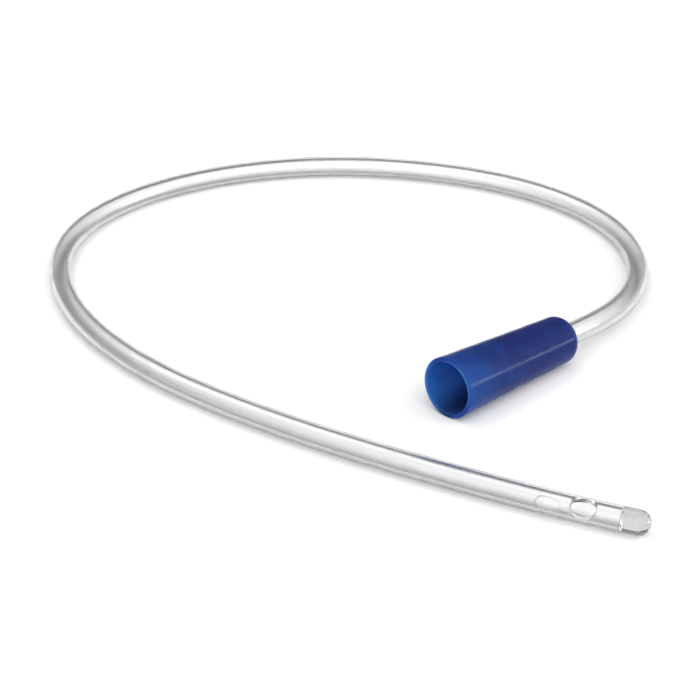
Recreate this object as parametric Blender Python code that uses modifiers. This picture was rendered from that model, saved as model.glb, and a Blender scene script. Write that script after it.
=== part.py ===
"""A nelaton catheter lying on a flat surface.

A long clear soft tube with a closed, rounded tip and two oval eyes near it, and a blue
funnel connector that the tube's open end is seated in.

Metres, +Z up. The surface is the plane Z = 0. The funnel lies on its side with its axis
over the X axis, its mouth facing -X and its back facing +X. The origin is on the surface,
under the middle of the funnel. The tube leaves the funnel's back along the funnel's axis,
comes down to the surface and lies there in one open loop.
"""
import math

import bmesh
import bpy
import numpy
from mathutils import Matrix, Vector

# Tube
TUBE_OUTER_DIAMETER = 0.0047
TUBE_BORE_DIAMETER = 0.0032
TIP_SOLID_LENGTH = 0.0049
TIP_DOME_LENGTH = 0.0025

# Eyes: oval holes through one wall of the tube, measured along it from the tip's end
EYE_LENGTH = 0.0046
EYE_WIDTH = 0.0025
FIRST_EYE_FROM_TIP = 0.0119
EYE_SPACING = 0.0076
FIRST_EYE_TURN = math.radians(48)
SECOND_EYE_TURN = FIRST_EYE_TURN + math.pi

# Funnel: a tapered socket at the mouth, a shoulder with a small hole, a seat for the tube
SOCKET_DEPTH = 0.0240
SHOULDER_THICKNESS = 0.0015
SEAT_DEPTH = 0.0090
MOUTH_BORE_DIAMETER = 0.0102
MOUTH_WALL = 0.0010
SOCKET_END_DIAMETER = 0.0072
SOCKET_FLOOR_RISE = 0.0015
BACK_WALL = 0.00225
BACK_ROUNDING = 0.0029
RIM_ROUNDING = 0.00025
SEAT_GAP = 0.0003

# Route of the tube on the surface, as seen from above: each point is counted from the
# place where the tube leaves the funnel
ROUTE = (
    (0.0139, 0.0010), (0.0272, 0.0050), (0.0391, 0.0123), (0.0485, 0.0226), (0.0546, 0.0351),
    (0.0569, 0.0489), (0.0556, 0.0628), (0.0512, 0.0761), (0.0445, 0.0883), (0.0357, 0.0992),
    (0.0249, 0.1081), (0.0125, 0.1146), (-0.0009, 0.1183), (-0.0149, 0.1188), (-0.0285, 0.1156),
    (-0.0405, 0.1085), (-0.0501, 0.0983), (-0.0571, 0.0863), (-0.0618, 0.0731), (-0.0643, 0.0593),
    (-0.0649, 0.0453), (-0.0639, 0.0314), (-0.0619, 0.0175), (-0.0591, 0.0038), (-0.0557, -0.0098),
    (-0.0519, -0.0232), (-0.0477, -0.0366), (-0.0429, -0.0497), (-0.0411, -0.0541),
)
LANDING_LENGTH = 0.0420

# Fineness of the meshes
ROUTE_SAMPLES = 1200
RING_SPACING = 0.0056
RING_RESOLUTION = 4
DOME_ANGLES = (0, 24, 46, 66, 82)
EYE_SIDES = 24
FUNNEL_SIDES = 48
ARC_STEPS = 6
WELD_DISTANCE = 0.00001
SMOOTH_ANGLE = math.radians(40)

# Sizes that follow from the ones above
TUBE_RADIUS = TUBE_OUTER_DIAMETER / 2
BORE_RADIUS = TUBE_BORE_DIAMETER / 2
SEAT_RADIUS = TUBE_RADIUS + SEAT_GAP
FUNNEL_LENGTH = SOCKET_DEPTH + SHOULDER_THICKNESS + SEAT_DEPTH
MOUTH_BORE_RADIUS = MOUTH_BORE_DIAMETER / 2
MOUTH_RADIUS = MOUTH_BORE_RADIUS + MOUTH_WALL
BACK_RADIUS = SEAT_RADIUS + BACK_WALL
BACK_ARC_RADIUS = BACK_RADIUS - BACK_ROUNDING
TAPER_LENGTH = FUNNEL_LENGTH - BACK_ROUNDING - RIM_ROUNDING
FUNNEL_TILT = math.atan2(MOUTH_RADIUS - BACK_RADIUS, TAPER_LENGTH)
FUNNEL_AXIS = Vector((math.cos(FUNNEL_TILT), 0, -math.sin(FUNNEL_TILT)))


def clear_scene():
    """Removes every object that the scene starts with."""
    for scene_object in list(bpy.data.objects):
        bpy.data.objects.remove(scene_object, do_unlink=True)


def new_collection(name):
    """Adds an empty collection to the scene."""
    collection = bpy.data.collections.new(name)
    bpy.context.scene.collection.children.link(collection)
    return collection


def plastic(name, colour, roughness, alpha=1.0):
    """A plain plastic of one colour."""
    material = bpy.data.materials.new(name)
    material.use_nodes = True
    shader = material.node_tree.nodes["Principled BSDF"]
    shader.inputs["Base Color"].default_value = (*colour, 1)
    shader.inputs["Roughness"].default_value = roughness
    shader.inputs["Metallic"].default_value = 0
    shader.inputs["Alpha"].default_value = alpha
    return material


def shade_round(mesh):
    """Shades a mesh smooth, with its sharp edges kept."""
    mesh.shade_smooth()
    mesh.set_sharp_from_angle(angle=SMOOTH_ANGLE)


def mark_as_cutter(cutter):
    """Shows a cutting body as wires only, and keeps it out of renders."""
    cutter.hide_render = True
    cutter.display_type = "WIRE"


def cut(target, cutter):
    """Cuts one closed body out of another."""
    boolean = target.modifiers.new("cut_" + cutter.name, "BOOLEAN")
    boolean.operation = "DIFFERENCE"
    boolean.solver = "EXACT"
    boolean.object = cutter


def arc_points(centre_radius, centre_height, radius, start, end):
    """Points of an arc in the funnel's half section, as distance from the axis and height.

    The angle is 0 along the axis, towards the back, and a quarter turn straight outwards.
    """
    angles = numpy.linspace(start, end, ARC_STEPS + 1)
    return [
        (centre_radius + radius * math.sin(angle), centre_height + radius * math.cos(angle))
        for angle in angles
    ]


def funnel_section():
    """The funnel's half section, from the seat's edge down the outside and up the inside.

    Heights are counted along the axis from the mouth's face.
    """
    quarter = math.pi / 2
    back_centre = FUNNEL_LENGTH - BACK_ROUNDING
    seat_edge = min(max((SEAT_RADIUS - BACK_ARC_RADIUS) / BACK_ROUNDING, 0.0), 1.0)
    section = []
    if BACK_ARC_RADIUS > SEAT_RADIUS:
        section.append((SEAT_RADIUS, FUNNEL_LENGTH))
    section += arc_points(BACK_ARC_RADIUS, back_centre, BACK_ROUNDING, math.asin(seat_edge), quarter)
    section += arc_points(
        MOUTH_RADIUS - RIM_ROUNDING, RIM_ROUNDING, RIM_ROUNDING, quarter, 2 * quarter)
    section += arc_points(
        MOUTH_BORE_RADIUS + RIM_ROUNDING, RIM_ROUNDING, RIM_ROUNDING, 2 * quarter, 3 * quarter)
    section += [
        (SOCKET_END_DIAMETER / 2, SOCKET_DEPTH - SOCKET_FLOOR_RISE),
        (BORE_RADIUS, SOCKET_DEPTH),
        (BORE_RADIUS, SOCKET_DEPTH + SHOULDER_THICKNESS),
        (SEAT_RADIUS, SOCKET_DEPTH + SHOULDER_THICKNESS),
    ]
    return section


def mouth_centre():
    """The middle of the funnel's mouth, with the funnel lying on its side on the surface.

    The funnel's cone touches the surface from its rim to its back's rounding, and the origin
    is halfway along its length.
    """
    lean = math.sin(FUNNEL_TILT)
    level = math.cos(FUNNEL_TILT)
    section = funnel_section()
    foremost = min(height * level - radius * lean for radius, height in section)
    rearmost = max(height * level + radius * lean for radius, height in section)
    reach_down = max(radius * level + height * lean for radius, height in section)
    return Vector((-(foremost + rearmost) / 2, 0, reach_down))


def make_funnel(collection):
    """The funnel connector, its half section turned about its axis."""
    section = funnel_section()
    mesh = bpy.data.meshes.new("funnel_connector")
    corners = [(radius, 0, height) for radius, height in section]
    edges = [(i, (i + 1) % len(section)) for i in range(len(section))]
    mesh.from_pydata(corners, edges, [])
    funnel = bpy.data.objects.new("funnel_connector", mesh)
    collection.objects.link(funnel)
    turn = funnel.modifiers.new("turned", "SCREW")
    turn.steps = FUNNEL_SIDES
    turn.render_steps = FUNNEL_SIDES
    turn.use_merge_vertices = True
    turn.merge_threshold = WELD_DISTANCE
    turn.use_smooth_shade = True
    funnel.location = mouth_centre()
    funnel.rotation_euler = (0, math.pi / 2 + FUNNEL_TILT, 0)
    mesh.materials.append(plastic("blue_funnel_plastic", (0.012, 0.045, 0.30), 0.32))
    return funnel


def clamped_spline(points, start_slope):
    """A smooth curve through points: cubic pieces whose slope and bend run on at each point.

    It leaves the first point with the given slope per unit length and ends without bend.
    Returns evenly sampled positions.
    """
    points = numpy.array(points)
    chords = numpy.linalg.norm(numpy.diff(points, axis=0), axis=1)
    knots = numpy.concatenate(([0.0], numpy.cumsum(chords)))
    count = len(points)
    system = numpy.zeros((count, count))
    target = numpy.zeros(points.shape)
    system[0, 0] = 1
    target[0] = start_slope
    for i in range(1, count - 1):
        before, after = chords[i - 1], chords[i]
        system[i, i - 1:i + 2] = after, 2 * (before + after), before
        target[i] = 3 * (
            after * (points[i] - points[i - 1]) / before + before * (points[i + 1] - points[i]) / after)
    system[-1, -2:] = 1, 2
    target[-1] = 3 * (points[-1] - points[-2]) / chords[-1]
    slopes = numpy.linalg.solve(system, target)
    samples = numpy.linspace(0, knots[-1], ROUTE_SAMPLES)
    piece = numpy.clip(numpy.searchsorted(knots, samples, side="right") - 1, 0, count - 2)
    chord = chords[piece][:, None]
    t = (samples[:, None] - knots[piece][:, None]) / chord
    return (
        (2 * t**3 - 3 * t**2 + 1) * points[piece]
        + (t**3 - 2 * t**2 + t) * chord * slopes[piece]
        + (3 * t**2 - 2 * t**3) * points[piece + 1]
        + (t**3 - t**2) * chord * slopes[piece + 1])


def lengths_along(points):
    """The distance along a chain of points, from its first point to each one."""
    steps = numpy.linalg.norm(numpy.diff(points, axis=0), axis=1)
    return numpy.concatenate(([0.0], numpy.cumsum(steps)))


def tube_centre_line():
    """The tube's centre line, sampled finely, from its open end in the funnel to its tip.

    The tube runs straight inside the funnel. Behind it the height falls from the funnel's
    axis to the tube's radius, as a cubic in the distance run, level where it lands.
    """
    mouth = mouth_centre()
    open_end = mouth + FUNNEL_AXIS * (FUNNEL_LENGTH - SEAT_DEPTH + SEAT_GAP)
    leaving = mouth + FUNNEL_AXIS * FUNNEL_LENGTH
    plan = [(leaving.x, leaving.y)]
    plan += [(leaving.x + x, leaving.y + y) for x, y in ROUTE]
    plan = clamped_spline(plan, (1.0, 0.0))
    t = numpy.clip(lengths_along(plan) / LANDING_LENGTH, 0, 1)
    drop = leaving.z - TUBE_RADIUS
    fall = math.tan(FUNNEL_TILT) * LANDING_LENGTH
    height = TUBE_RADIUS + drop * (2 * t**3 - 3 * t**2 + 1) - fall * (t**3 - 2 * t**2 + t)
    free = numpy.column_stack((plan, height))
    return numpy.vstack((numpy.array(open_end), free))


def points_at(line, distances):
    """Positions on a chain of points at the given distances along it."""
    run = lengths_along(line)
    return numpy.column_stack([numpy.interp(distances, run, line[:, axis]) for axis in range(3)])


def evenly_spaced(start, end):
    """Distances from start to end, about RING_SPACING apart."""
    gaps = max(2, round((end - start) / RING_SPACING))
    return numpy.linspace(start, end, gaps + 1)


def swept_body(name, points, radius, shares, collection):
    """A closed mesh swept round a chain of points; shares scale the radius at each point."""
    curve = bpy.data.curves.new(name, "CURVE")
    curve.dimensions = "3D"
    curve.bevel_depth = radius
    curve.bevel_resolution = RING_RESOLUTION
    curve.use_fill_caps = True
    spline = curve.splines.new("POLY")
    spline.points.add(len(points) - 1)
    for spline_point, position, share in zip(spline.points, points, shares):
        spline_point.co = (*position, 1)
        spline_point.radius = share
    swept = bpy.data.objects.new(name + "_curve", curve)
    collection.objects.link(swept)
    bpy.context.view_layer.update()
    evaluated = swept.evaluated_get(bpy.context.evaluated_depsgraph_get())
    mesh = bpy.data.meshes.new_from_object(evaluated)
    mesh.name = name
    weld = bmesh.new()
    weld.from_mesh(mesh)
    bmesh.ops.remove_doubles(weld, verts=weld.verts, dist=WELD_DISTANCE)
    weld.to_mesh(mesh)
    weld.free()
    body = bpy.data.objects.new(name, mesh)
    body.matrix_world = swept.matrix_world
    collection.objects.link(body)
    bpy.data.objects.remove(swept, do_unlink=True)
    return body


def make_eye_cutter(name, line, from_tip, turn, collection):
    """An oval bar that reaches from the tube's middle out through one wall.

    The turn is counted about the tube from straight up, to the right as it runs to its tip.
    """
    length = lengths_along(line)[-1]
    before, centre, after = points_at(
        line, (length - from_tip - EYE_LENGTH / 2, length - from_tip, length - from_tip + EYE_LENGTH / 2))
    along = Vector(after - before).normalized()
    right = along.cross(Vector((0, 0, 1))).normalized()
    up = right.cross(along)
    outward = up * math.cos(turn) + right * math.sin(turn)
    bar = bmesh.new()
    bmesh.ops.create_cone(
        bar, cap_ends=True, segments=EYE_SIDES, radius1=0.5, radius2=0.5, depth=1,
        matrix=Matrix.Diagonal((EYE_LENGTH, EYE_WIDTH, TUBE_OUTER_DIAMETER, 1)))
    mesh = bpy.data.meshes.new(name)
    bar.to_mesh(mesh)
    bar.free()
    cutter = bpy.data.objects.new(name, mesh)
    across = outward.cross(along)
    turned = Matrix((along, across, outward)).transposed().to_4x4()
    middle = Vector(centre) + outward * TUBE_RADIUS
    cutter.matrix_world = Matrix.Translation(middle) @ turned
    collection.objects.link(cutter)
    mark_as_cutter(cutter)
    return cutter


def make_tube(collection, cutters):
    """The clear tube: a round outside that ends in a dome, a blind bore and two eyes."""
    line = tube_centre_line()
    length = lengths_along(line)[-1]
    dome_angles = numpy.radians(DOME_ANGLES)
    dome_start = length - TIP_DOME_LENGTH
    stations = numpy.concatenate((
        evenly_spaced(0, dome_start)[:-1], dome_start + TIP_DOME_LENGTH * numpy.sin(dome_angles)))
    shares = numpy.ones(len(stations))
    shares[-len(dome_angles):] = numpy.cos(dome_angles)
    tube = swept_body("catheter_tube", points_at(line, stations), TUBE_RADIUS, shares, collection)

    bore_points = points_at(line, evenly_spaced(0, length - TIP_SOLID_LENGTH))
    bore_points = numpy.vstack((bore_points[0] - numpy.array(FUNNEL_AXIS) * SEAT_GAP, bore_points))
    bore = swept_body(
        "tube_bore_cutter", bore_points, BORE_RADIUS, numpy.ones(len(bore_points)), cutters)
    mark_as_cutter(bore)
    cut(tube, bore)
    eyes = (
        ("first_eye_cutter", FIRST_EYE_FROM_TIP, FIRST_EYE_TURN),
        ("second_eye_cutter", FIRST_EYE_FROM_TIP + EYE_SPACING, SECOND_EYE_TURN),
    )
    for name, from_tip, turn in eyes:
        cut(tube, make_eye_cutter(name, line, from_tip, turn, cutters))
    shade_round(tube.data)
    tube.data.materials.clear()
    tube.data.materials.append(plastic("clear_tube_plastic", (0.80, 0.82, 0.84), 0.15, 0.35))
    return tube


def main():
    """Builds the catheter."""
    clear_scene()
    parts = new_collection("nelaton_catheter")
    cutters = new_collection("cutters")
    make_funnel(parts)
    make_tube(parts, cutters)


main()
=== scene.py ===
"""The looks of a nelaton catheter lying on a white table.

A clear soft tube with a rounded closed tip and two oval eyes lies in one open loop. Its open
end is seated in a blue funnel connector. Everything is in metres, +Z up, the table is Z = 0.
"""
import math

import bmesh
import bpy
import numpy as np
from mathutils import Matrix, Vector


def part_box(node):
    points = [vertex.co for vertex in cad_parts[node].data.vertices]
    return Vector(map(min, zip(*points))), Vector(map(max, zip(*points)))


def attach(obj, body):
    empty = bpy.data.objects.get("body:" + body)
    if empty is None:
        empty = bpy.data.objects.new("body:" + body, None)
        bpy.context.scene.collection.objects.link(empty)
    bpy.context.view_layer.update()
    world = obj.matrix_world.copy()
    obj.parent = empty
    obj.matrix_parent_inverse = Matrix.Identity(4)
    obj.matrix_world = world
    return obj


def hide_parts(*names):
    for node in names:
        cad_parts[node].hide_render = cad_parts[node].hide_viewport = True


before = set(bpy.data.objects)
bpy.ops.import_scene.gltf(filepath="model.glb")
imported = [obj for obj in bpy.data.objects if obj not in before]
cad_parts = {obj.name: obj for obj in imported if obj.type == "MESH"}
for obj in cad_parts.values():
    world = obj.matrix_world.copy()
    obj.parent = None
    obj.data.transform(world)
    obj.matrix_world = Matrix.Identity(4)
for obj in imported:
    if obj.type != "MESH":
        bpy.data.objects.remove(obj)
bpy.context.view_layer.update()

# Tube
TUBE_OUTER_DIAMETER = 0.0047
TUBE_BORE_DIAMETER = 0.0032
TIP_SOLID_LENGTH = 0.0049
TIP_DOME_LENGTH = 0.0025
BORE_END_ROUNDING = 0.0006
OPEN_END_ROUNDING = 0.0002

# Eyes: oval holes through one wall of the tube, measured along it from the tip's end
EYE_LENGTH = 0.0046
EYE_WIDTH = 0.0025
FIRST_EYE_FROM_TIP = 0.0119
EYE_SPACING = 0.0076
FIRST_EYE_TURN = math.radians(48)
EYE_OUTER_FLARE = 0.00050
EYE_INNER_FLARE = 0.00030

# Funnel: a tapered socket at the mouth, a shoulder with a small hole, a seat for the tube
SOCKET_DEPTH = 0.0240
SHOULDER_THICKNESS = 0.0015
SEAT_DEPTH = 0.0090
MOUTH_BORE_DIAMETER = 0.0102
MOUTH_WALL = 0.0010
SOCKET_END_DIAMETER = 0.0072
SOCKET_FLOOR_RISE = 0.0015
BACK_WALL = 0.00225
BACK_ROUNDING = 0.0029
RIM_ROUNDING = 0.00025
SEAT_GAP = 0.0003

# Unevenness of the funnel's outside: its mean depth, and the depth and form of its waves.
# along and around count the waves. The bend moves each one sideways as it goes round, bends
# times a turn. The starts are the angles that the three begin at: along, bend and around.
UNEVEN_MEAN_DEPTH = 0.000035
UNEVEN_WAVE_DEPTH = 0.0000175
UNEVEN_WAVES = (
    {"along": 5.3, "around": 3, "weight": 1.0, "bend": 2.0, "bends": 1, "starts": (0, 0, 1.0)},
    {"along": 8.1, "around": 5, "weight": 0.7, "bend": 1.0, "bends": 2,
     "starts": (1.3, math.pi / 2, 0)},
)

# Route of the tube on the table, counted from the place where it leaves the funnel
ROUTE = (
    (0.0139, 0.0010), (0.0272, 0.0050), (0.0391, 0.0123), (0.0485, 0.0226), (0.0546, 0.0351),
    (0.0569, 0.0489), (0.0556, 0.0628), (0.0512, 0.0761), (0.0445, 0.0883), (0.0357, 0.0992),
    (0.0249, 0.1081), (0.0125, 0.1146), (-0.0009, 0.1183), (-0.0149, 0.1188), (-0.0285, 0.1156),
    (-0.0405, 0.1085), (-0.0501, 0.0983), (-0.0571, 0.0863), (-0.0618, 0.0731), (-0.0643, 0.0593),
    (-0.0649, 0.0453), (-0.0639, 0.0314), (-0.0619, 0.0175), (-0.0591, 0.0038), (-0.0557, -0.0098),
    (-0.0519, -0.0232), (-0.0477, -0.0366), (-0.0429, -0.0497), (-0.0411, -0.0541),
)
LANDING_LENGTH = 0.0420

# Fineness of the meshes
ROUTE_SAMPLES = 8000
SEATED_SAMPLES = 200
TUBE_SIDES = 96
TUBE_STEP = 0.0014
EYE_SIDE_CELLS = 20
EYE_END_CELLS = 12
EYE_STEP = EYE_SPACING / (2 * EYE_END_CELLS + 1)
EYE_COLUMNS = (0, TUBE_SIDES // 2)
EYE_APPROACH_STEPS = 6
EYE_LIP_STEPS = 14
DOME_STEPS = 18
FUNNEL_SIDES = 224
FUNNEL_STEP = 0.0004
BACK_STEPS = 30
ROUNDING_STEPS = 10
WELD_DISTANCE = 0.0000005

# Sizes that follow
TUBE_RADIUS = TUBE_OUTER_DIAMETER / 2
BORE_RADIUS = TUBE_BORE_DIAMETER / 2
HALF_WALL = (TUBE_RADIUS - BORE_RADIUS) / 2
WALL_MIDDLE = (TUBE_RADIUS + BORE_RADIUS) / 2
SEAT_RADIUS = TUBE_RADIUS + SEAT_GAP
FUNNEL_LENGTH = SOCKET_DEPTH + SHOULDER_THICKNESS + SEAT_DEPTH
MOUTH_BORE_RADIUS = MOUTH_BORE_DIAMETER / 2
MOUTH_RADIUS = MOUTH_BORE_RADIUS + MOUTH_WALL
BACK_RADIUS = SEAT_RADIUS + BACK_WALL
BACK_ARC_RADIUS = BACK_RADIUS - BACK_ROUNDING
TAPER_LENGTH = FUNNEL_LENGTH - BACK_ROUNDING - RIM_ROUNDING
FUNNEL_TILT = math.atan2(MOUTH_RADIUS - BACK_RADIUS, TAPER_LENGTH)
FUNNEL_AXIS = np.array((math.cos(FUNNEL_TILT), 0, -math.sin(FUNNEL_TILT)))
FUNNEL_UP = np.array((math.sin(FUNNEL_TILT), 0, math.cos(FUNNEL_TILT)))
FUNNEL_SIDE = np.array((0.0, 1.0, 0.0))

# Camera
CAMERA_PLACE = (-0.28269, -0.24019, 0.19730)
CAMERA_HEADING = math.radians(45.08)
CAMERA_DIP = math.radians(27.11)
CAMERA_LENS = 110.24
CAMERA_SENSOR = 36.0
CAMERA_NEAR = 0.01
CAMERA_FAR = 10.0

# Table top
TABLE_HALF_WIDTH = 3.0
TABLE_COLOUR = (0.83, 0.83, 0.83, 1)
TABLE_ROUGHNESS = 0.8

# Soft light from all round: the way to its dark side, with azimuths counted from +X, the
# cosines of the angle from there between which it changes, and its strengths at those two
DARK_AZIMUTH = math.radians(72)
DARK_ELEVATION = math.radians(12)
LIGHT_SIDE_EDGES = (-0.3, 0.6)
LIGHT_SIDE_STRENGTHS = (2.15, 0.22)

# Soft boxes: the high one fills, the low one draws the long highlight on the funnel
HIGH_SOFT_BOX = {
    "azimuth": math.radians(85), "elevation": math.radians(60), "distance": 1.0,
    "width": 0.7, "height": 0.7, "power": 3.5,
}
LOW_SOFT_BOX = {
    "azimuth": math.radians(-48), "elevation": math.radians(4), "distance": 1.2,
    "width": 0.6, "height": 0.13, "power": 3.4,
}

# Noise patterns: the range that most of their values lie in
NOISE_RANGE = (0.3, 0.7)

# Clear plastic: tints of the hollow tube at 0 and of its solid tip at 1, pattern scales per
# metre, and the height of the die lines in metres
TUBE_TINTS = ((0.0, (0.93, 0.93, 0.935, 1)), (1.0, (0.64, 0.64, 0.645, 1)))
TUBE_REFRACTION = 1.53
TUBE_ROUGHNESS = (0.09, 0.17)
CUT_ROUGHNESS = 0.42
TIP_ROUGHNESS = 0.12
HAZE_SCALE = 160.0
HAZE_DETAIL = 3
DIE_LINE_SCALE = (40.0, 1400.0, 1400.0)
DIE_LINE_DETAIL = 2
DIE_LINE_HEIGHT = 0.000004

# Blue plastic: colours from the mouth at 0 to the back at 1, painted paler towards the mouth as
# light coming through the thin wall there, how far red, green and blue light go in, pattern scales
# per metre, and the clouds' drift and the grain's height in metres
FUNNEL_BLUES_WITH_PAINTED_LIGHT = (
    (0.00, (0.009, 0.031, 0.140, 1)),
    (0.30, (0.009, 0.023, 0.112, 1)),
    (0.55, (0.009, 0.015, 0.086, 1)),
    (1.00, (0.009, 0.019, 0.098, 1)),
)
FUNNEL_LIGHT_REACH = (0.0055, 0.0068, 0.0100)
FUNNEL_ROUGHNESS = (0.13, 0.24)
FUNNEL_GLOSS = 0.045
CLOUD_SCALE = 210.0
CLOUD_DETAIL = 3
CLOUD_DRIFT = 0.007
GRAIN_SCALE = 430.0
GRAIN_DETAIL = 2
GRAIN_HEIGHT = 0.00005


def add_camera():
    """The camera at the viewing angle of the photograph, with the heading counted from +X."""
    data = bpy.data.cameras.new("camera")
    data.lens = CAMERA_LENS
    data.sensor_width = CAMERA_SENSOR
    data.clip_start = CAMERA_NEAR
    data.clip_end = CAMERA_FAR
    camera = bpy.data.objects.new("camera", data)
    camera.location = CAMERA_PLACE
    camera.rotation_euler = (math.pi / 2 - CAMERA_DIP, 0, CAMERA_HEADING - math.pi / 2)
    bpy.context.scene.collection.objects.link(camera)
    bpy.context.scene.camera = camera


def mouth_centre():
    """The middle of the funnel's mouth: its foremost point and its lowest one touch the CAD box."""
    low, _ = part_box("funnel_connector")
    lean, level = math.sin(FUNNEL_TILT), math.cos(FUNNEL_TILT)
    rim_circle = MOUTH_RADIUS - RIM_ROUNDING
    ahead = rim_circle * lean - RIM_ROUNDING * level + RIM_ROUNDING
    below = rim_circle * level + RIM_ROUNDING * lean + RIM_ROUNDING
    return np.array((low[0] + ahead, 0, low[2] + below))


def clamped_spline(points, start_slope):
    """Cubic pieces through points, their slope and bend running on from one to the next.

    The first slope is given, and the last piece ends without any bend. The chords between the
    points are the lengths of the pieces.
    """
    points = np.array(points)
    chords = np.linalg.norm(np.diff(points, axis=0), axis=1)
    knots = np.concatenate(([0.0], np.cumsum(chords)))
    count = len(points)
    before, after = chords[:-1], chords[1:]
    inner = np.arange(1, count - 1)
    system = np.zeros((count, count))
    system[inner, inner - 1] = after
    system[inner, inner] = 2 * (before + after)
    system[inner, inner + 1] = before
    system[0, 0] = 1
    system[-1, -2:] = 1, 2
    steps = np.diff(points, axis=0)
    target = np.zeros(points.shape)
    target[0] = start_slope
    target[1:-1] = 3 * (
        after[:, None] * steps[:-1] / before[:, None]
        + before[:, None] * steps[1:] / after[:, None])
    target[-1] = 3 * steps[-1] / chords[-1]
    slopes = np.linalg.solve(system, target)
    samples = np.linspace(0, knots[-1], ROUTE_SAMPLES)
    piece = np.clip(np.searchsorted(knots, samples, side="right") - 1, 0, count - 2)
    chord = chords[piece][:, None]
    t = (samples[:, None] - knots[piece][:, None]) / chord
    return (
        (2 * t**3 - 3 * t**2 + 1) * points[piece]
        + (t**3 - 2 * t**2 + t) * chord * slopes[piece]
        + (3 * t**2 - 2 * t**3) * points[piece + 1]
        + (t**3 - t**2) * chord * slopes[piece + 1])


def lengths_along(points):
    """The distance along a chain of points, from its first point to each one."""
    steps = np.linalg.norm(np.diff(points, axis=0), axis=1)
    return np.concatenate(([0.0], np.cumsum(steps)))


class TubeLine:
    """The tube's centre line, from its open end in the funnel's seat to its tip.

    It runs straight inside the funnel. Behind it the plan follows the route, and the height
    falls from the funnel's axis to the tube's radius as a cubic in the distance run, level
    where it lands.
    """

    def __init__(self):
        mouth = mouth_centre()
        self.open_end = mouth + FUNNEL_AXIS * (FUNNEL_LENGTH - SEAT_DEPTH + SEAT_GAP)
        self.leaving = mouth + FUNNEL_AXIS * FUNNEL_LENGTH
        plan = [self.leaving[:2]] + [self.leaving[:2] + np.array(point) for point in ROUTE]
        plan = clamped_spline(plan, (1.0, 0.0))
        t = np.clip(lengths_along(plan) / LANDING_LENGTH, 0, 1)
        drop = self.leaving[2] - TUBE_RADIUS
        fall = math.tan(FUNNEL_TILT) * LANDING_LENGTH
        height = TUBE_RADIUS + drop * (2 * t**3 - 3 * t**2 + 1) - fall * (t**3 - 2 * t**2 + t)
        seated = np.linspace(self.open_end, self.leaving, SEATED_SAMPLES, endpoint=False)
        self.points = np.vstack((seated, np.column_stack((plan, height))))
        self.run = lengths_along(self.points)
        self.length = self.run[-1]
        self.direction = np.gradient(self.points, self.run, axis=0)

    def sampled(self, values, distances):
        """Values of the line's points at any distances along it."""
        return np.stack([np.interp(distances, self.run, values[:, i]) for i in range(3)], axis=-1)

    def wall_points(self, distances, angles, radii):
        """Places at given distances along the line, turned by angles about it, at given radii.

        Angle 0 is the way that the first eye faces.
        """
        along = self.sampled(self.direction, distances)
        along /= np.linalg.norm(along, axis=-1, keepdims=True)
        right = np.cross(along, (0.0, 0.0, 1.0))
        right /= np.linalg.norm(right, axis=-1, keepdims=True)
        up = np.cross(right, along)
        turned = (angles + FIRST_EYE_TURN)[..., None]
        outward = up * np.cos(turned) + right * np.sin(turned)
        return self.sampled(self.points, distances) + outward * radii[..., None]


def arc(centre, radius, start, end, steps):
    """Points of an arc as (distance along, radius), with angle 0 along and a quarter outwards."""
    angles = np.radians(np.linspace(start, end, steps + 1))
    return np.column_stack((
        centre[0] + radius * np.cos(angles), centre[1] + radius * np.sin(angles)))


def tube_rings(length):
    """Distances of the tube's rings, fine and even where the eyes are, and the two eyes' rings."""
    second_eye = length - FIRST_EYE_FROM_TIP - EYE_SPACING
    fine_start = second_eye - EYE_END_CELLS * EYE_STEP
    fine_cells = 4 * EYE_END_CELLS + 1
    coarse_cells = math.ceil((fine_start - OPEN_END_ROUNDING) / TUBE_STEP)
    coarse = np.linspace(OPEN_END_ROUNDING, fine_start, coarse_cells + 1)
    fine = fine_start + EYE_STEP * np.arange(1, fine_cells + 1)
    second_ring = coarse_cells + EYE_END_CELLS
    first_ring = second_ring + 2 * EYE_END_CELLS + 1
    return np.concatenate((coarse, fine)), (first_ring, second_ring)


def wall_run(rings, end, radius):
    """A straight wall as (distance, radius): the given rings, and even ones on to its end."""
    steps = math.ceil((end - rings[-1]) / EYE_STEP)
    distances = np.concatenate((rings, np.linspace(rings[-1], end, steps + 1)[1:]))
    return np.column_stack((distances, np.full(len(distances), radius)))


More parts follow.
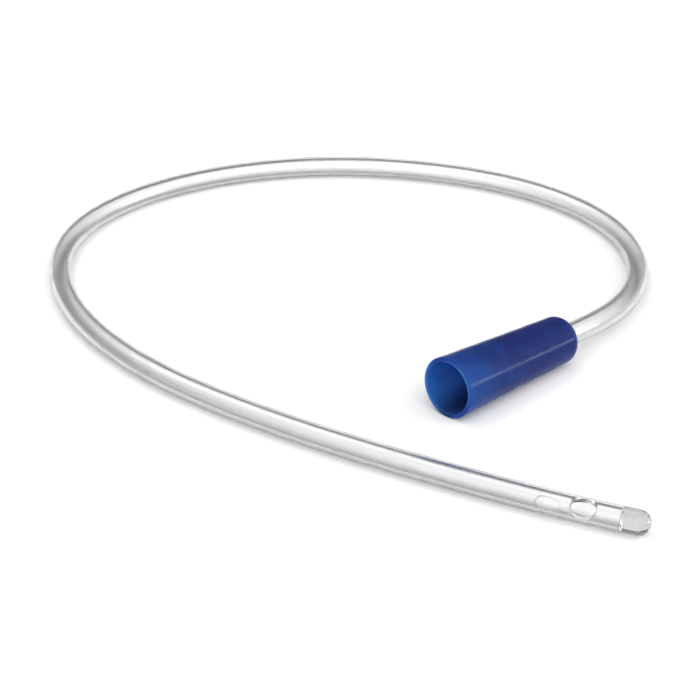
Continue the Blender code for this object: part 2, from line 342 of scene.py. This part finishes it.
def tube_profile(length, rings):
    """The tube's half section as (distance, radius), and the rows of its two walls' first rings.

    It runs from the tip's pole over the dome and the outer wall, round the open end and back
    along the bore to its blind end.
    """
    dome_base = length - TIP_DOME_LENGTH
    dome_turn = np.radians(np.linspace(0, 90, DOME_STEPS + 1))[1:]
    dome = np.column_stack((
        dome_base + TIP_DOME_LENGTH * np.sin(dome_turn), TUBE_RADIUS * np.cos(dome_turn)))
    outer = wall_run(rings, dome_base, TUBE_RADIUS)
    outer_edge = (OPEN_END_ROUNDING, TUBE_RADIUS - OPEN_END_ROUNDING)
    outer_edge = arc(outer_edge, OPEN_END_ROUNDING, 90, 180, ROUNDING_STEPS)
    inner_edge = (OPEN_END_ROUNDING, BORE_RADIUS + OPEN_END_ROUNDING)
    inner_edge = arc(inner_edge, OPEN_END_ROUNDING, 180, 270, ROUNDING_STEPS)
    bore_base = length - TIP_SOLID_LENGTH - BORE_END_ROUNDING
    inner = wall_run(rings, bore_base, BORE_RADIUS)
    flat_radius = BORE_RADIUS - BORE_END_ROUNDING
    bore_end = arc((bore_base, flat_radius), BORE_END_ROUNDING, 90, 0, ROUNDING_STEPS)
    flat = np.linspace(1, 0, ROUNDING_STEPS)[1:] * flat_radius
    bore_floor = np.column_stack((np.full(len(flat), bore_base + BORE_END_ROUNDING), flat))
    profile = np.vstack((
        dome[::-1], outer[:0:-1], outer_edge, inner_edge[:-1], inner, bore_end[1:], bore_floor))
    first_outer = len(dome) + len(outer) - 1
    first_inner = first_outer + len(outer_edge) + len(inner_edge) - 1
    return profile, first_outer, first_inner


def grid_quads(rows, columns, left_out=()):
    """Corner numbers of a grid's faces that runs round in its columns, without the eyes' blocks.

    left_out gives the row and the column of each block's middle.
    """
    keep = np.ones((rows - 1, columns), bool)
    for row, column in left_out:
        block_rows = np.arange(row - EYE_END_CELLS, row + EYE_END_CELLS)
        block_columns = np.arange(column - EYE_SIDE_CELLS, column + EYE_SIDE_CELLS) % columns
        keep[np.ix_(block_rows, block_columns)] = False
    row, column = np.nonzero(keep)
    following = (column + 1) % columns
    return np.column_stack((
        row * columns + column, row * columns + following,
        (row + 1) * columns + following, (row + 1) * columns + column))


def eye_border():
    """Steps from an eye's middle to each grid corner on the border of its block, once round."""
    rows = np.arange(-EYE_END_CELLS, EYE_END_CELLS)
    columns = np.arange(-EYE_SIDE_CELLS, EYE_SIDE_CELLS)
    sides = (
        (rows, np.full(len(rows), -EYE_SIDE_CELLS)),
        (np.full(len(columns), EYE_END_CELLS), columns),
        (-rows, np.full(len(rows), EYE_SIDE_CELLS)),
        (np.full(len(columns), -EYE_END_CELLS), -columns),
    )
    return np.hstack([np.vstack(side) for side in sides])


def eye_wall(distance, angle):
    """The wall round one eye, from its block's border outside, over its lip, to that inside.

    Round the eye the first parameter follows the block's border. Along the second one the
    place goes evenly from the border to a flared oval on the outer wall, over half an ellipse
    whose narrowest oval is the eye, and from a less flared oval back to the border. It is
    given as distances along the tube, angles about it and radii.
    """
    rows, columns = eye_border()
    along = rows * EYE_STEP
    across = columns * 2 * math.pi / TUBE_SIDES * WALL_MIDDLE
    bearing = np.arctan2(columns / EYE_SIDE_CELLS, rows / EYE_END_CELLS)
    half_length = EYE_LENGTH / 2
    half_width = math.asin(EYE_WIDTH / 2 / WALL_MIDDLE) * WALL_MIDDLE
    lip = np.linspace(0, math.pi, EYE_LIP_STEPS + 1)
    flare = np.where(lip < math.pi / 2, EYE_OUTER_FLARE, EYE_INNER_FLARE) * (1 - np.sin(lip))
    lip_radius = WALL_MIDDLE + HALF_WALL * np.cos(lip)
    lip_along = np.cos(bearing)[:, None] * (half_length + flare)
    lip_across = np.sin(bearing)[:, None] * (half_width + flare)
    share = np.linspace(0, 1, EYE_APPROACH_STEPS + 1)[:-1]
    outer_along = along[:, None] + (lip_along[:, :1] - along[:, None]) * share
    outer_across = across[:, None] + (lip_across[:, :1] - across[:, None]) * share
    inner_along = along[:, None] + (lip_along[:, -1:] - along[:, None]) * share[::-1]
    inner_across = across[:, None] + (lip_across[:, -1:] - across[:, None]) * share[::-1]
    distances = distance + np.hstack((outer_along, lip_along, inner_along))
    angles = angle + np.hstack((outer_across, lip_across, inner_across)) / WALL_MIDDLE
    approach = np.ones(EYE_APPROACH_STEPS)
    radii = np.concatenate((TUBE_RADIUS * approach, lip_radius, BORE_RADIUS * approach))
    return distances, angles, np.broadcast_to(radii, distances.shape)


def mesh_object(name, points, faces, material, unrolled=None):
    """A smooth closed mesh whose doubles are merged and whose faces point outwards.

    unrolled keeps each corner's place on the straightened piece, for patterns that follow it.
    """
    mesh = bpy.data.meshes.new(name)
    mesh.from_pydata(points.tolist(), [], faces.tolist())
    if unrolled is not None:
        layer = mesh.attributes.new("unrolled", "FLOAT_VECTOR", "POINT")
        layer.data.foreach_set("vector", unrolled.ravel())
    work = bmesh.new()
    work.from_mesh(mesh)
    bmesh.ops.remove_doubles(work, verts=work.verts, dist=WELD_DISTANCE)
    bmesh.ops.recalc_face_normals(work, faces=work.faces)
    work.to_mesh(mesh)
    work.free()
    mesh.shade_smooth()
    mesh.materials.append(material)
    piece = bpy.data.objects.new(name, mesh)
    bpy.context.scene.collection.objects.link(piece)
    return piece


def make_tube(line, material):
    """The clear tube: one closed skin over its outside, its open end, its bore and both eyes.

    Its half section is turned about the centre line. A block of faces is left out at each eye,
    outside and inside, and the eye's own wall joins the two borders.
    """
    rings, eye_rings = tube_rings(line.length)
    profile, first_outer, first_inner = tube_profile(line.length, rings)
    column_angles = np.arange(TUBE_SIDES) * 2 * math.pi / TUBE_SIDES
    shape = (len(profile), TUBE_SIDES)
    skins = [(
        np.broadcast_to(profile[:, :1], shape), np.broadcast_to(column_angles, shape),
        np.broadcast_to(profile[:, 1:], shape))]
    blocks = []
    for ring, column in zip(eye_rings, EYE_COLUMNS):
        blocks += [(first_outer - ring, column), (first_inner + ring, column)]
    faces = [grid_quads(*shape, blocks)]
    corners = len(profile) * TUBE_SIDES
    for ring, column in zip(eye_rings, EYE_COLUMNS):
        wall = eye_wall(rings[ring], column_angles[column])
        skins.append(wall)
        index = np.arange(wall[0].size).reshape(wall[0].shape) + corners
        onwards = np.roll(index, -1, axis=0)
        quads = (index[:, :-1], onwards[:, :-1], onwards[:, 1:], index[:, 1:])
        faces.append(np.stack(quads, axis=-1).reshape(-1, 4))
        corners += wall[0].size
    along, turned, radii = (np.concatenate([skin[i].ravel() for skin in skins]) for i in range(3))
    points = line.wall_points(along, turned, radii)
    unrolled = np.column_stack((along, radii * np.cos(turned), radii * np.sin(turned)))
    return mesh_object("clear_tube", points, np.vstack(faces), material, unrolled)


def funnel_profile():
    """The funnel's half section as (height from the mouth's face, distance from the axis).

    It runs from the seat's edge over the rounded back, down the outside, over the rim, up the
    socket, over the shoulder and up the seat, every straight stretch cut into even steps.
    """
    back_centre = (FUNNEL_LENGTH - BACK_ROUNDING, BACK_ARC_RADIUS)
    seat_turn = math.degrees(math.asin((SEAT_RADIUS - BACK_ARC_RADIUS) / BACK_ROUNDING))
    outer_rim = (RIM_ROUNDING, MOUTH_RADIUS - RIM_ROUNDING)
    inner_rim = (RIM_ROUNDING, MOUTH_BORE_RADIUS + RIM_ROUNDING)
    corners = np.vstack((
        arc(back_centre, BACK_ROUNDING, seat_turn, 90, BACK_STEPS),
        arc(outer_rim, RIM_ROUNDING, 90, 180, ROUNDING_STEPS),
        arc(inner_rim, RIM_ROUNDING, 180, 270, ROUNDING_STEPS),
        (SOCKET_DEPTH - SOCKET_FLOOR_RISE, SOCKET_END_DIAMETER / 2),
        (SOCKET_DEPTH, BORE_RADIUS),
        (SOCKET_DEPTH + SHOULDER_THICKNESS, BORE_RADIUS),
        (SOCKET_DEPTH + SHOULDER_THICKNESS, SEAT_RADIUS),
    ))
    pieces = []
    for corner, following in zip(corners, np.roll(corners, -1, axis=0)):
        steps = max(1, math.ceil(np.linalg.norm(following - corner) / FUNNEL_STEP))
        pieces.append(np.linspace(corner, following, steps, endpoint=False))
    return np.vstack(pieces)


def uneven_wave(share, angles, along, around, weight, bend, bends, starts):
    """A wave along the funnel, moved sideways by a slow one round it, times a wave round it."""
    along_start, bend_start, around_start = starts
    sideways = bend * np.sin(bends * angles + bend_start)
    lengthwise = np.sin(2 * math.pi * along * share + along_start + sideways)
    return weight * lengthwise * np.cos(around * angles + around_start)


def make_funnel(material):
    """The blue funnel: its half section turned about its axis, the outside slightly uneven.

    The unevenness is a mean depth and waves along and round the outside. It fades out towards
    the rim and the back, and through the wall.
    """
    profile = funnel_profile()
    angles = np.arange(FUNNEL_SIDES) * 2 * math.pi / FUNNEL_SIDES
    height = profile[:, :1]
    radius = profile[:, 1:]
    share = height / FUNNEL_LENGTH
    outer_radius = MOUTH_RADIUS + (BACK_RADIUS - MOUTH_RADIUS) * height / TAPER_LENGTH
    outside = np.clip(1 - (outer_radius - radius) / (MOUTH_WALL / 2), 0, 1)
    middle = np.sin(math.pi * np.clip(share, 0, 1))
    waves = sum(uneven_wave(share, angles, **settings) for settings in UNEVEN_WAVES)
    radius = radius - outside * middle * (UNEVEN_MEAN_DEPTH + UNEVEN_WAVE_DEPTH * waves)
    outward = np.cos(angles)[:, None] * FUNNEL_UP + np.sin(angles)[:, None] * FUNNEL_SIDE
    points = mouth_centre() + height[..., None] * FUNNEL_AXIS + radius[..., None] * outward
    rows = len(profile)
    faces = grid_quads(rows + 1, FUNNEL_SIDES) % (rows * FUNNEL_SIDES)
    return mesh_object("blue_funnel", points.reshape(-1, 3), faces, material)


def new_material(name):
    """A material and its Principled shader."""
    material = bpy.data.materials.new(name)
    material.use_nodes = True
    return material, material.node_tree.nodes["Principled BSDF"]


def add_node(owner, kind, values=(), **settings):
    """A node of a material or world, with its settings, and its inputs given values or links."""
    tree = owner.node_tree
    node = tree.nodes.new("ShaderNode" + kind)
    for name, setting in settings.items():
        setattr(node, name, setting)
    for name, value in dict(values).items():
        if isinstance(value, bpy.types.NodeSocket):
            tree.links.new(value, node.inputs[name])
        else:
            node.inputs[name].default_value = value
    return node


def worked_out(owner, operation, *values):
    """The result of one step of arithmetic on values."""
    return add_node(owner, "Math", enumerate(values), operation=operation).outputs["Value"]


def noise(owner, place, scale, detail):
    """Cloudy values round 0.5 at the given places."""
    pattern = {"Vector": place, "Scale": scale, "Detail": detail}
    return add_node(owner, "TexNoise", pattern).outputs["Fac"]


def eased(owner, value, before, after):
    """A value taken smoothly from one range to another, and held at its ends."""
    ends = {
        "Value": value, "From Min": before[0], "From Max": before[1],
        "To Min": after[0], "To Max": after[1],
    }
    return add_node(owner, "MapRange", ends, interpolation_type="SMOOTHSTEP").outputs["Result"]


def ramped(owner, value, colours):
    """The colour at a value, between given colours at given positions from 0 to 1."""
    ramp = add_node(owner, "ValToRGB", {"Fac": value})
    stops = ramp.color_ramp.elements
    for _ in colours[len(stops):]:
        stops.new(0.5)
    for stop, (position, colour) in zip(stops, colours):
        stop.position = position
        stop.color = colour
    return ramp.outputs["Color"]


def bumped(owner, heights, distance):
    """The surface's normal after heights of 0 to 1 are raised by up to a distance in metres."""
    bump = {"Height": heights, "Distance": distance, "Strength": 1.0}
    return add_node(owner, "Bump", bump).outputs["Normal"]


def clear_soft_plastic(length):
    """Clear soft extruded plastic: faint die lines along it and a slightly uneven haze.

    The cut faces of its end and eyes, halfway through the wall, are frosted, and so a little is
    the formed tip. The solid tip takes more light away than the thin wall does.
    """
    material, shader = new_material("clear_soft_plastic")
    shader.inputs["Transmission Weight"].default_value = 1.0
    shader.inputs["IOR"].default_value = TUBE_REFRACTION
    unrolled = add_node(material, "Attribute", attribute_name="unrolled").outputs["Vector"]
    axes = add_node(material, "SeparateXYZ", {"Vector": unrolled}).outputs
    across = add_node(material, "CombineXYZ", {"X": axes["Y"], "Y": axes["Z"]}).outputs["Vector"]
    radius = add_node(material, "VectorMath", {0: across}, operation="LENGTH").outputs["Value"]
    off_middle = worked_out(
        material, "ABSOLUTE", worked_out(material, "SUBTRACT", radius, WALL_MIDDLE))
    solid_start = length - TIP_SOLID_LENGTH
    dome_start = length - TIP_DOME_LENGTH
    haze = eased(
        material, noise(material, unrolled, HAZE_SCALE, HAZE_DETAIL), NOISE_RANGE, TUBE_ROUGHNESS)
    cut = eased(material, off_middle, (HALF_WALL, HALF_WALL / 2), (0, CUT_ROUGHNESS))
    tip = eased(material, axes["X"], (solid_start, dome_start), (0, TIP_ROUGHNESS))
    rough = worked_out(material, "MAXIMUM", worked_out(material, "MAXIMUM", haze, cut), tip)
    solid = eased(material, axes["X"], (solid_start - BORE_END_ROUNDING, solid_start), (0, 1))
    drawn_out = add_node(material, "Mapping", {"Vector": unrolled, "Scale": DIE_LINE_SCALE})
    die_lines = noise(material, drawn_out.outputs["Vector"], 1, DIE_LINE_DETAIL)
    links = material.node_tree.links
    links.new(ramped(material, solid, TUBE_TINTS), shader.inputs["Base Color"])
    links.new(rough, shader.inputs["Roughness"])
    links.new(bumped(material, die_lines, DIE_LINE_HEIGHT), shader.inputs["Normal"])
    return material


def blue_moulded_plastic():
    """Deep blue soft moulded plastic that light enters: its blue is painted paler towards the
    mouth, where light comes through the thin wall.
    """
    material, shader = new_material("blue_moulded_plastic")
    shader.inputs["Specular IOR Level"].default_value = FUNNEL_GLOSS
    shader.inputs["Subsurface Weight"].default_value = 1.0
    shader.inputs["Subsurface Radius"].default_value = FUNNEL_LIGHT_REACH
    shader.inputs["Subsurface Scale"].default_value = 1.0
    place = add_node(material, "TexCoord").outputs["Object"]
    along = add_node(material, "SeparateXYZ", {"Vector": place}).outputs["X"]
    clouds = noise(material, place, CLOUD_SCALE, CLOUD_DETAIL)
    drift = eased(material, clouds, NOISE_RANGE, (-CLOUD_DRIFT, CLOUD_DRIFT))
    shifted = worked_out(material, "ADD", along, drift)
    low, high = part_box("funnel_connector")
    whole = {"Value": shifted, "From Min": low[0], "From Max": high[0]}
    share = add_node(material, "MapRange", whole).outputs["Result"]
    grain = noise(material, place, GRAIN_SCALE, GRAIN_DETAIL)
    rough = eased(material, clouds, NOISE_RANGE, FUNNEL_ROUGHNESS)
    links = material.node_tree.links
    # The colour ramp paints the blue paler towards the mouth, standing in for light coming through
    # the thin wall there
    links.new(ramped(material, share, FUNNEL_BLUES_WITH_PAINTED_LIGHT), shader.inputs["Base Color"])
    links.new(rough, shader.inputs["Roughness"])
    links.new(bumped(material, grain, GRAIN_HEIGHT), shader.inputs["Normal"])
    return material


def white_table():
    """A plain white table top."""
    material, shader = new_material("white_table")
    shader.inputs["Base Color"].default_value = TABLE_COLOUR
    shader.inputs["Roughness"].default_value = TABLE_ROUGHNESS
    return material


def add_table():
    """The table top that the catheter lies on."""
    half = TABLE_HALF_WIDTH
    corners = [(-half, -half, 0), (half, -half, 0), (half, half, 0), (-half, half, 0)]
    mesh = bpy.data.meshes.new("table_top")
    mesh.from_pydata(corners, [], [(0, 1, 2, 3)])
    mesh.materials.append(white_table())
    table = bpy.data.objects.new("table_top", mesh)
    bpy.context.scene.collection.objects.link(table)


def way_to(azimuth, elevation):
    """The direction at an azimuth from +X and an elevation."""
    level = math.cos(elevation)
    return Vector((level * math.cos(azimuth), level * math.sin(azimuth), math.sin(elevation)))


def add_surroundings():
    """Soft light from all round, with one bright and one dark side."""
    world = bpy.data.worlds.new("studio")
    bpy.context.scene.world = world
    world.use_nodes = True
    sides = {
        0: add_node(world, "TexCoord").outputs["Generated"],
        1: way_to(DARK_AZIMUTH, DARK_ELEVATION),
    }
    share = add_node(world, "VectorMath", sides, operation="DOT_PRODUCT").outputs["Value"]
    strength = eased(world, share, LIGHT_SIDE_EDGES, LIGHT_SIDE_STRENGTHS)
    background = world.node_tree.nodes["Background"]
    background.inputs["Color"].default_value = (1, 1, 1, 1)
    world.node_tree.links.new(strength, background.inputs["Strength"])


def add_soft_box(name, azimuth, elevation, distance, width, height, power):
    """A soft light at a distance from the frame's origin, turned towards it."""
    data = bpy.data.lights.new(name, "AREA")
    data.shape = "RECTANGLE"
    data.size = width
    data.size_y = height
    data.energy = power
    way = way_to(azimuth, elevation)
    light = bpy.data.objects.new(name, data)
    light.location = way * distance
    light.rotation_euler = way.to_track_quat("Z", "Y").to_euler()
    bpy.context.scene.collection.objects.link(light)


def main():
    """Dresses the catheter and lights it."""
    add_camera()
    line = TubeLine()
    tube = make_tube(line, clear_soft_plastic(line.length))
    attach(tube, "root")
    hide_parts("catheter_tube")
    funnel = make_funnel(blue_moulded_plastic())
    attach(funnel, "root")
    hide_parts("funnel_connector")
    add_table()
    add_surroundings()
    add_soft_box("high_soft_box", **HIGH_SOFT_BOX)
    add_soft_box("low_soft_box", **LOW_SOFT_BOX)
    bpy.context.scene.view_settings.view_transform = "Standard"


main()
